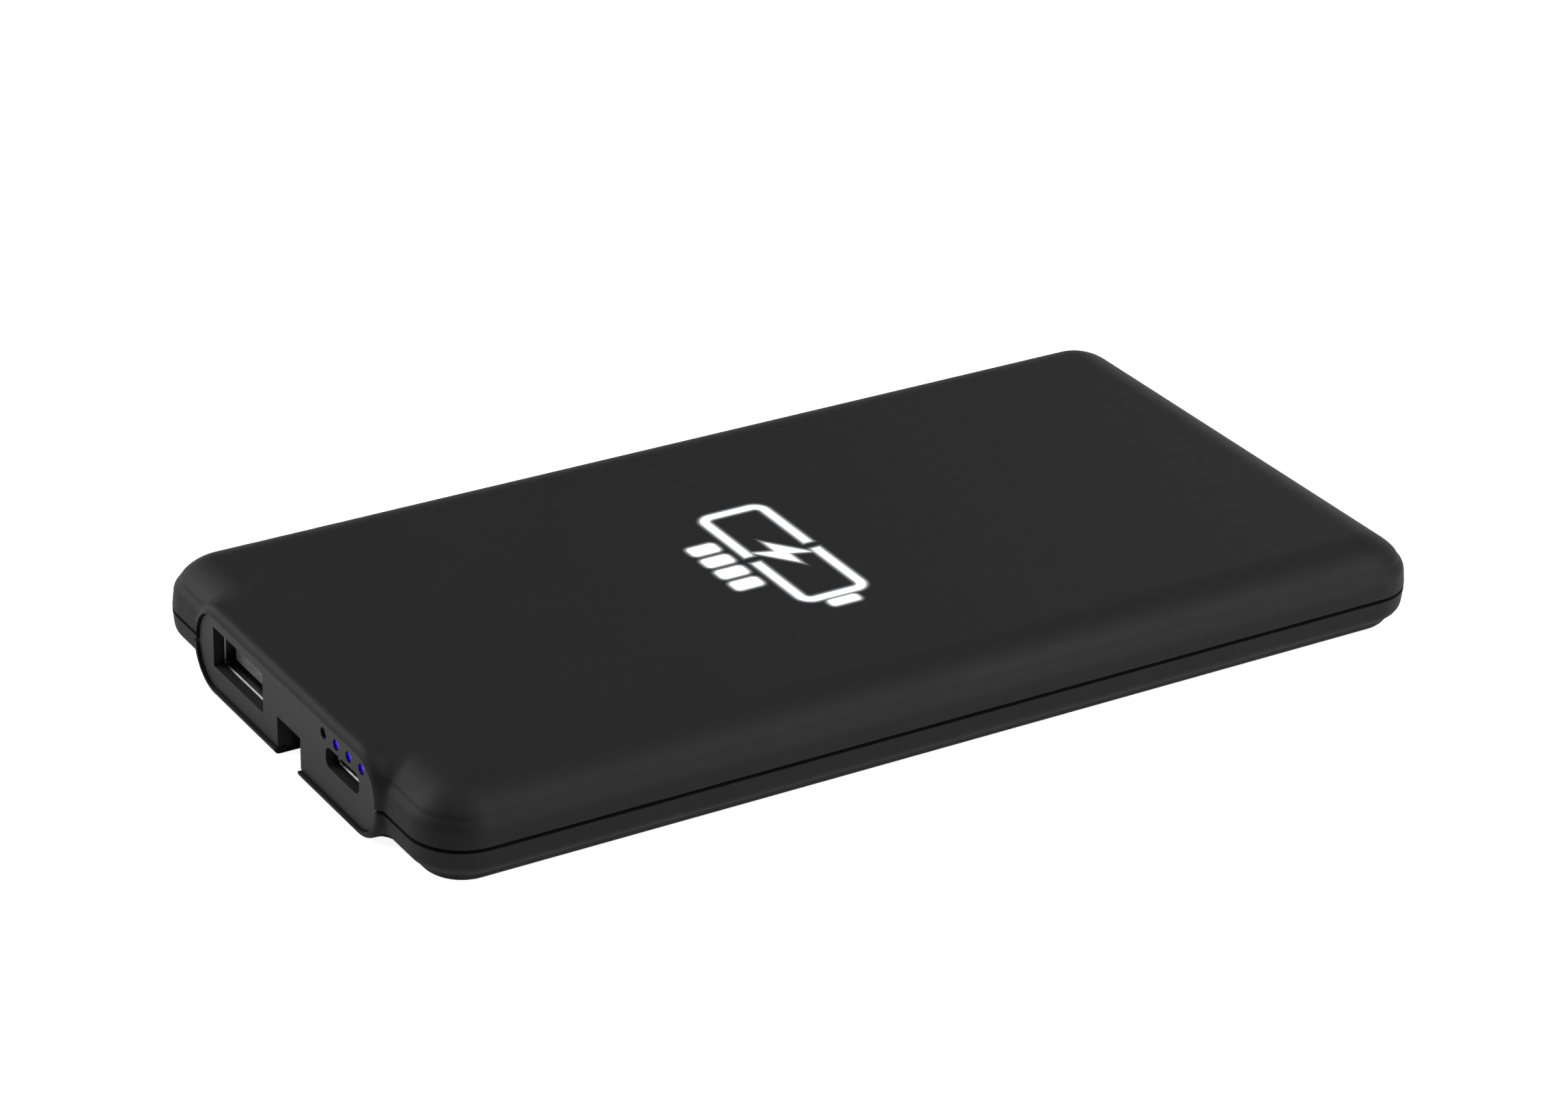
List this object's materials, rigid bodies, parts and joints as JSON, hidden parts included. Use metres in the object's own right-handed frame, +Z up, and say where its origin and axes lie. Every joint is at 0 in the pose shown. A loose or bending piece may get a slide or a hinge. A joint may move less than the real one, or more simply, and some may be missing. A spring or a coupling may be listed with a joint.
{
  "type": "power bank",
  "caption": "Slim pocket power bank in two soft black covers, with an end panel of USB sockets, gauge lamps, a notch and a glowing battery symbol.",
  "frame": {"origin": "middle of the footprint, on the surface that the power bank lies on", "axes": "+X runs along the length, away from the port end; +Y points to the side with the power button; +Z is up, out of the cover with the glowing symbol"},
  "size_m": [0.1318, 0.0698, 0.0111],
  "materials": {
    "soft_touch_black": "soft-touch rubber paint",
    "button_black": "fine matt moulding",
    "panel_black": "fine spark-eroded texture",
    "glow_white": "lit translucent inlay",
    "clear_acrylic": "clear moulded acrylic",
    "lamp_white": "phosphor chip lamp",
    "lamp_blue": "lit blue chip lamp",
    "socket_steel": "plated spring steel",
    "screw_steel": "zinc-plated steel",
    "tab_nickel": "nickel strip",
    "contact_gold": "gold-plated contact",
    "tongue_grey": "moulded nylon",
    "tongue_black": "moulded nylon",
    "board_green": "solder mask",
    "ferrite_grey": "sintered ferrite",
    "chip_black": "moulded epoxy",
    "capacitor_tan": "fired ceramic",
    "resistor_black": "fired ceramic",
    "switch_black": "moulded nylon",
    "pouch_foil": "laminated foil pouch",
    "tape_white": "double-sided tape",
    "foam_black": "open-cell foam"
  },
  "bodies": {
    "case": {"top_cover": "soft_touch_black", "bottom_cover": "soft_touch_black", "port_panel": "panel_black", "glow_mark": "glow_white", "light_guide": "clear_acrylic", "mark_lamps": "lamp_white", "usb_a_shell": "socket_steel", "usb_a_tongue": "tongue_grey", "usb_a_contacts": "contact_gold", "micro_usb_shell": "socket_steel", "micro_usb_tongue": "tongue_black", "micro_usb_contacts": "contact_gold", "main_board": "board_green", "board_screws": "screw_steel", "gauge_light_pipes": "clear_acrylic", "gauge_lamps": "lamp_blue", "power_inductor": "ferrite_grey", "charge_controller": "chip_black", "protection_chip": "chip_black", "power_switches": "chip_black", "output_capacitors": "capacitor_tan", "chip_capacitors": "capacitor_tan", "chip_resistors": "resistor_black", "switch_body": "switch_black", "battery_cell": "pouch_foil", "positive_tab": "tab_nickel", "negative_tab": "tab_nickel", "cell_tape": "tape_white", "cell_foam": "foam_black"},
    "button": {"power_button": "button_black", "switch_plunger": "button_black"}
  },
  "joints": [
    {"name": "button_press", "type": "slide", "parent": "case", "child": "button", "axis": [0, -1, 0], "range_m": [0, 0.00035], "stiffness_N_per_m": 300, "springref_m": -0.0004}
  ]
}
